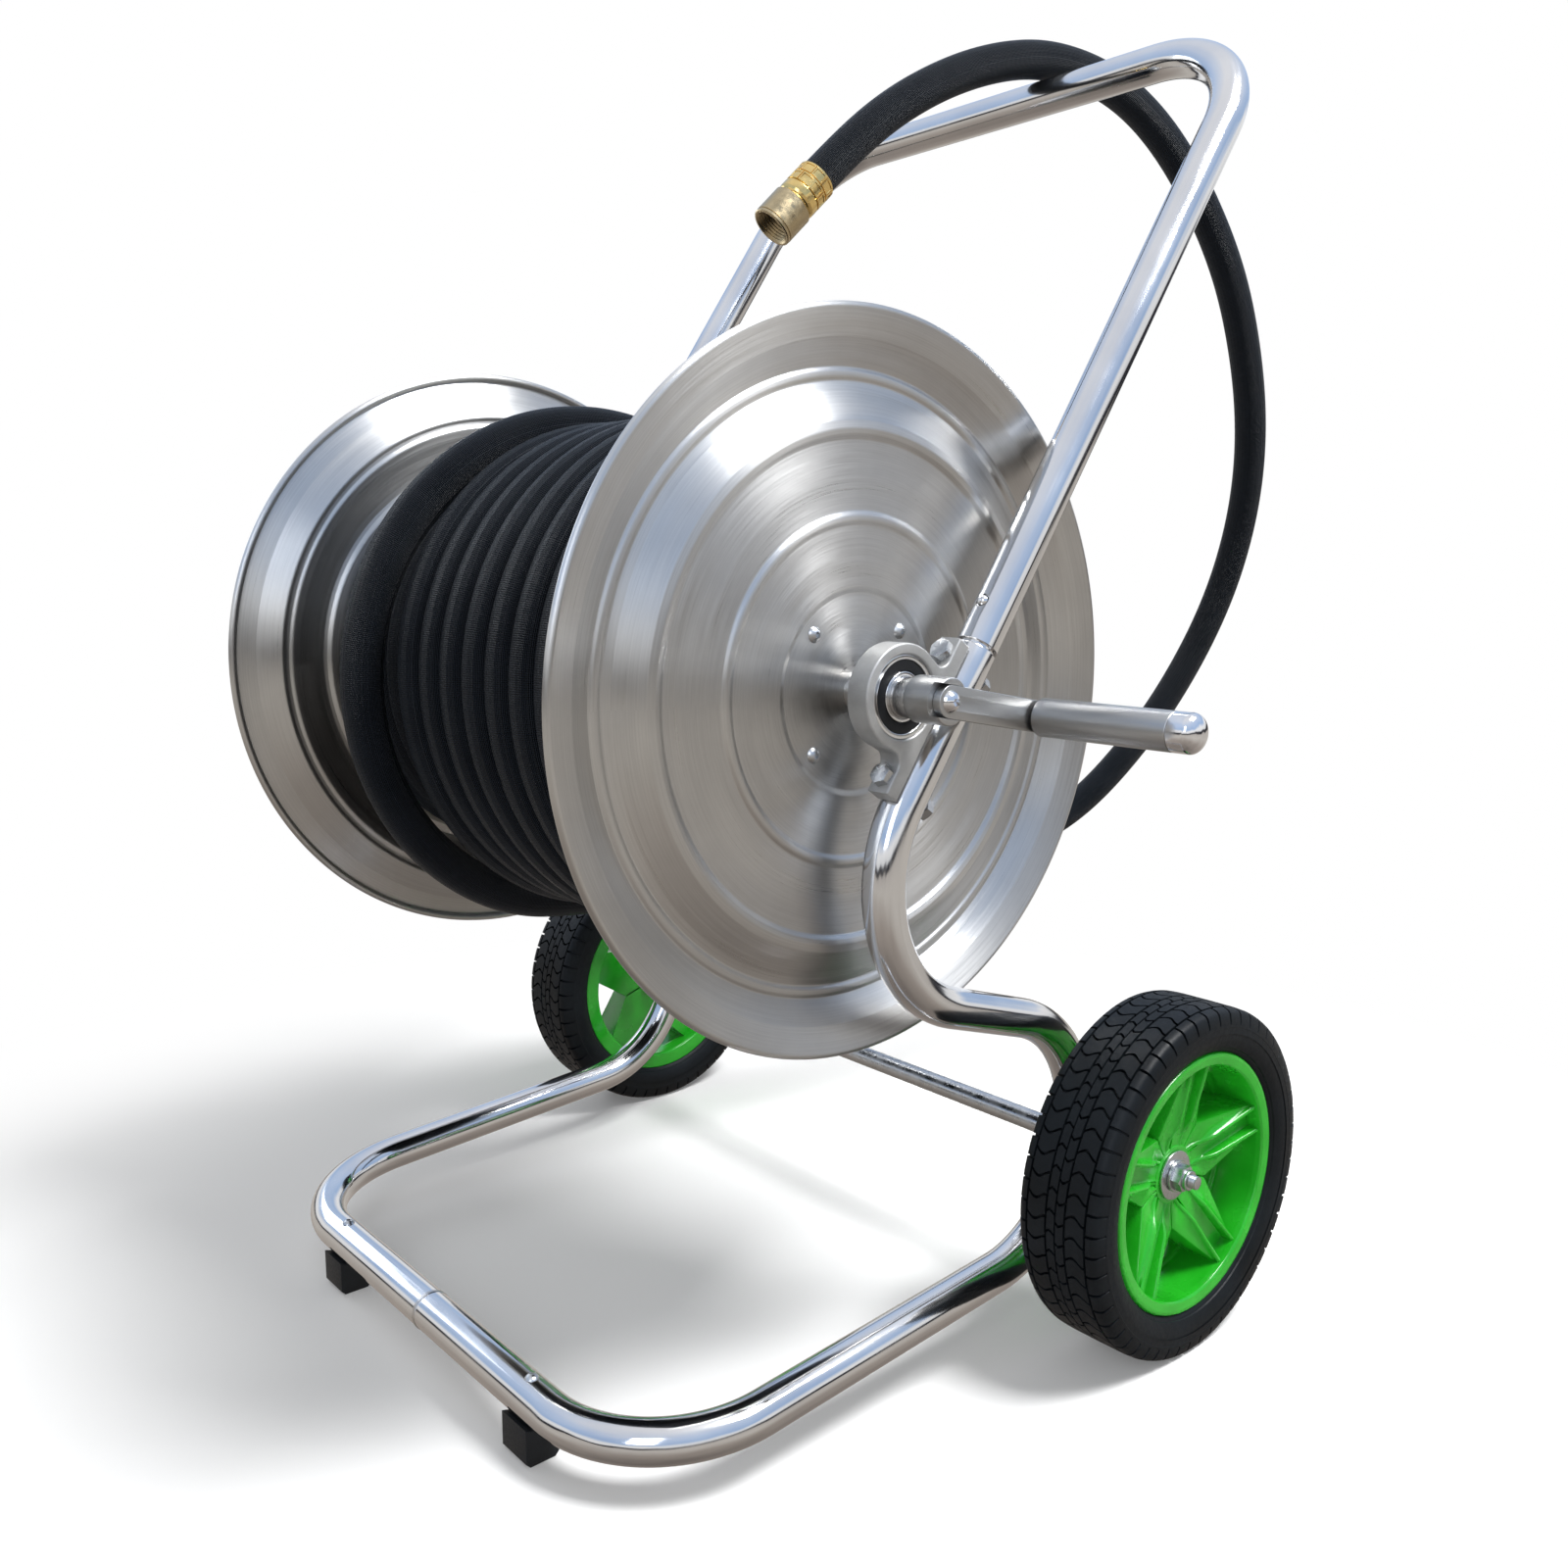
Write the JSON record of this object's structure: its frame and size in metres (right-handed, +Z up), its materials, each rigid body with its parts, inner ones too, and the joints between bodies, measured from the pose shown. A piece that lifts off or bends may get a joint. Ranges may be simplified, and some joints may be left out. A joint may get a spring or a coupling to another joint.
{
  "type": "garden hose reel cart",
  "caption": "Two-wheeled bent tube cart with a crank hose reel between dished steel flanges, a wound rubber hose and a swivel end fitting.",
  "frame": {"origin": "on the ground, under the middle of the box around the cart without its hose", "axes": "+X along the reel's shaft to the crank side, +Y to the back, where the handle leans, +Z up"},
  "size_m": [0.762, 0.9798, 0.9907],
  "materials": {
    "polished_tube": "polished stainless steel tube",
    "weld_steel": "brushed weld bead, slightly blued",
    "zinc_steel": "bright zinc plate",
    "foot_rubber": "matt moulded rubber",
    "cast_housing": "fine cast, satin",
    "bearing_steel": "ground and polished",
    "seal_rubber": "smooth black nitrile",
    "spring_steel": "dark spring steel",
    "button_chrome": "chrome plated",
    "shaft_steel": "turned steel bar",
    "brushed_sheet": "stainless sheet, spun and circular brushed",
    "hub_steel": "mill finish steel",
    "satin_bar": "brushed along its length",
    "hose_rubber": "black hose rubber with a cloth wrap impression",
    "bright_brass": "bright pressed brass",
    "dull_brass": "dull machined brass",
    "black_plastic": "moulded nylon",
    "tyre_rubber": "matt tyre rubber with a block tread",
    "green_plastic": "glossy moulded polypropylene"
  },
  "bodies": {
    "frame": {"frame_tube_right": "polished_tube", "frame_tube_left": "polished_tube", "centre_weld": "weld_steel", "handle_tube": "polished_tube", "axle": "zinc_steel", "axle_welds": "weld_steel", "wheel_spacers": "zinc_steel", "foot_right": "foot_rubber", "foot_left": "foot_rubber", "foot_screws": "zinc_steel", "bearing_housing_right": "cast_housing", "bearing_housing_left": "cast_housing", "bearing_outer_rings": "bearing_steel", "bearing_seals": "seal_rubber", "housing_bolts": "zinc_steel", "housing_nuts": "zinc_steel", "wheel_washers": "zinc_steel", "axle_washers": "zinc_steel", "axle_nuts": "zinc_steel", "button_spring_right": "spring_steel", "button_spring_left": "spring_steel", "hose_free": "hose_rubber", "ferrule": "bright_brass", "hose_tail": "dull_brass", "hose_washer": "seal_rubber"},
    "reel": {"shaft": "shaft_steel", "shaft_circlips": "spring_steel", "bearing_inner_rings": "bearing_steel", "bearing_balls": "bearing_steel", "flange_right": "brushed_sheet", "flange_left": "brushed_sheet", "drum_core": "brushed_sheet", "hub_plate_right": "hub_steel", "hub_plate_left": "hub_steel", "hub_screws": "spring_steel", "flange_screws": "zinc_steel", "outlet_pipe": "bright_brass", "hose_winding": "hose_rubber", "crank_hub": "shaft_steel", "crank_key": "spring_steel", "crank_arm": "satin_bar", "crank_screw": "zinc_steel", "grip_spindle": "shaft_steel", "grip_washer": "black_plastic", "inlet_seal": "seal_rubber"},
    "grip": {"grip_sleeve": "satin_bar", "grip_cap": "button_chrome"},
    "inlet": {"inlet_swivel": "bright_brass", "swivel_clip": "spring_steel"},
    "coupling": {"coupling_nut": "dull_brass"},
    "wheel_right": {"tyre_right": "tyre_rubber", "rim_right": "green_plastic", "wheel_bushes_right": "black_plastic"},
    "wheel_left": {"tyre_left": "tyre_rubber", "rim_left": "green_plastic", "wheel_bushes_left": "black_plastic"},
    "button_right": {"snap_button_right": "button_chrome"},
    "button_left": {"snap_button_left": "button_chrome"}
  },
  "joints": [
    {"name": "reel_spin", "type": "hinge", "parent": "frame", "child": "reel", "pos_m": [-0.031, -0.07859, 0.478], "axis": [1, 0, 0], "continuous": true},
    {"name": "grip_spin", "type": "hinge", "parent": "reel", "child": "grip", "pos_m": [0.315, 0.00511, 0.46324], "axis": [1, 0, 0], "continuous": true},
    {"name": "inlet_turn", "type": "hinge", "parent": "reel", "child": "inlet", "pos_m": [-0.331, -0.07859, 0.478], "axis": [1, 0, 0], "continuous": true},
    {"name": "coupling_turn", "type": "hinge", "parent": "frame", "child": "coupling", "pos_m": [-0.04773, 0.06084, 0.82507], "axis": [-0.2031, -0.6643, -0.7193], "continuous": true},
    {"name": "wheel_right_spin", "type": "hinge", "parent": "frame", "child": "wheel_right", "pos_m": [0.2855, 0.13995, 0.127], "axis": [1, 0, 0], "continuous": true},
    {"name": "wheel_left_spin", "type": "hinge", "parent": "frame", "child": "wheel_left", "pos_m": [-0.3475, 0.13995, 0.127], "axis": [1, 0, 0], "continuous": true},
    {"name": "button_right_push", "type": "slide", "parent": "frame", "child": "button_right", "axis": [0, 0.8241, -0.5664], "range_m": [0, 0.0038], "stiffness_N_per_m": 600, "springref_m": -0.004, "deforming": ["button_spring_right"]},
    {"name": "button_left_push", "type": "slide", "parent": "frame", "child": "button_left", "axis": [0, 0.8241, -0.5664], "range_m": [0, 0.0038], "stiffness_N_per_m": 600, "springref_m": -0.004, "deforming": ["button_spring_left"]}
  ]
}
